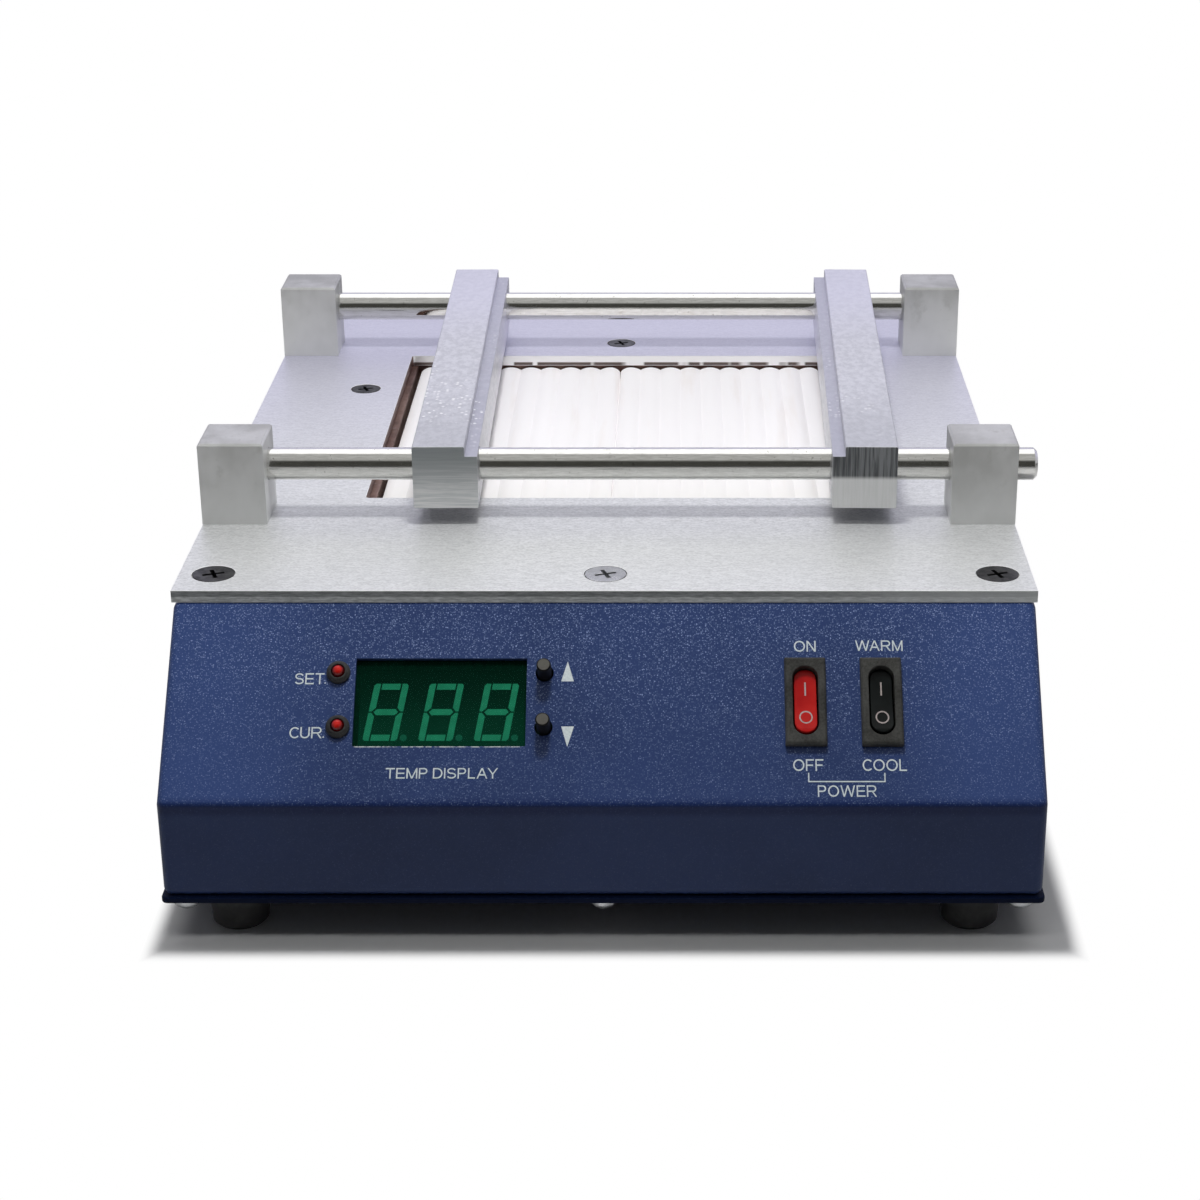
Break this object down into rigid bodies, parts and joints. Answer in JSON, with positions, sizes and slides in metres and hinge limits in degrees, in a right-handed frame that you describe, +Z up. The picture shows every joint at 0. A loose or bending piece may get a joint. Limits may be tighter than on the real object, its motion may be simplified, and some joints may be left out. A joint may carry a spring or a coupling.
{
  "type": "pcb preheater",
  "caption": "Bench preheater for circuit boards: blue sloped-front case, heater window in an aluminium plate, and clamp bars that slide on rods to hold a board.",
  "frame": {"origin": "on the floor under the middle of the part's box", "axes": "+Z up, +Y from the control panel to the rear wall, +X to the right seen from the front"},
  "size_m": [0.2056, 0.2798, 0.0937],
  "materials": {
    "blue_paint": "fine-grained powder coat",
    "plate_aluminium": "rolled, lightly brushed",
    "block_aluminium": "sawn and milled",
    "rod_steel": "ground and polished",
    "black_screws": "black oxide",
    "zinc_screws": "zinc plated",
    "rubber": "matt moulded rubber",
    "ceramic": "glazed white ceramic",
    "tinted_steel": "sheet steel, heat tinted",
    "insulation": "ceramic fibre",
    "bright_steel": "bright steel",
    "green_filter": "tinted acrylic",
    "display_black": "cast display body",
    "black_plastic": "fine-textured moulding",
    "gloss_black": "smooth moulding",
    "red_lamp": "clear red epoxy",
    "red_plastic": "smooth moulding",
    "green_board": "solder mask",
    "brown_board": "phenolic board",
    "brass": "plain brass",
    "nylon": "natural nylon",
    "core_steel": "laminated core with taped winding",
    "dark_aluminium": "black anodised",
    "fuse_glass": "clear glass",
    "green_plastic": "moulded"
  },
  "bodies": {
    "housing": {"case_shell": "blue_paint", "base_plate": "blue_paint", "rubber_feet": "rubber", "foot_screws": "zinc_screws", "base_screws": "zinc_screws", "top_plate": "plate_aluminium", "plate_screws_black": "black_screws", "plate_screws_zinc": "zinc_screws", "tray_screws": "black_screws", "post_front_left": "block_aluminium", "post_front_right": "block_aluminium", "post_rear_left": "block_aluminium", "post_rear_right": "block_aluminium", "post_screws": "zinc_screws", "rod_set_screws": "black_screws", "front_rod": "rod_steel", "rear_rod": "rod_steel", "heater_left": "ceramic", "heater_right": "ceramic", "heater_clips": "bright_steel", "heater_tray": "tinted_steel", "insulation_pad": "insulation", "thermocouple": "bright_steel", "display_window": "green_filter", "display_module": "display_black", "led_bezels": "gloss_black", "indicator_leds": "red_lamp", "control_board": "green_board", "board_spacers": "brass", "board_screws": "zinc_screws", "key_switches": "black_plastic", "controller_chip": "black_plastic", "power_switch_housing": "black_plastic", "heat_switch_housing": "black_plastic", "switch_terminals": "brass", "mains_inlet": "black_plastic", "inlet_pins": "bright_steel", "inlet_screws": "zinc_screws", "power_board": "brown_board", "power_board_spacers": "nylon", "power_board_screws": "zinc_screws", "transformer": "core_steel", "heat_sink": "dark_aluminium", "triac": "black_plastic", "fuse": "fuse_glass", "terminal_block": "green_plastic"},
    "left_bar": {"clamp_bar_left": "block_aluminium"},
    "right_bar": {"clamp_bar_right": "block_aluminium"},
    "power_key": {"power_rocker": "red_plastic"},
    "heat_key": {"heat_rocker": "gloss_black"},
    "up_key": {"up_button": "gloss_black"},
    "down_key": {"down_button": "gloss_black"}
  },
  "joints": [
    {"name": "left_bar_slide", "type": "slide", "parent": "housing", "child": "left_bar", "axis": [1, 0, 0], "range_m": [-0.03361, 0.043]},
    {"name": "right_bar_slide", "type": "slide", "parent": "housing", "child": "right_bar", "axis": [1, 0, 0], "range_m": [-0.043, 0.00939]},
    {"name": "power_rocker_tilt", "type": "hinge", "parent": "housing", "child": "power_key", "pos_m": [0.0432, -0.12172, 0.05269], "axis": [1, 0, 0], "range_deg": [0, 16]},
    {"name": "heat_rocker_tilt", "type": "hinge", "parent": "housing", "child": "heat_key", "pos_m": [0.06045, -0.12172, 0.05269], "axis": [1, 0, 0], "range_deg": [0, 16]},
    {"name": "up_button_press", "type": "slide", "parent": "housing", "child": "up_key", "axis": [0, 0.6927, -0.7212], "range_m": [0, 0.0005], "stiffness_N_per_m": 800},
    {"name": "down_button_press", "type": "slide", "parent": "housing", "child": "down_key", "axis": [0, 0.6927, -0.7212], "range_m": [0, 0.0005], "stiffness_N_per_m": 800}
  ]
}
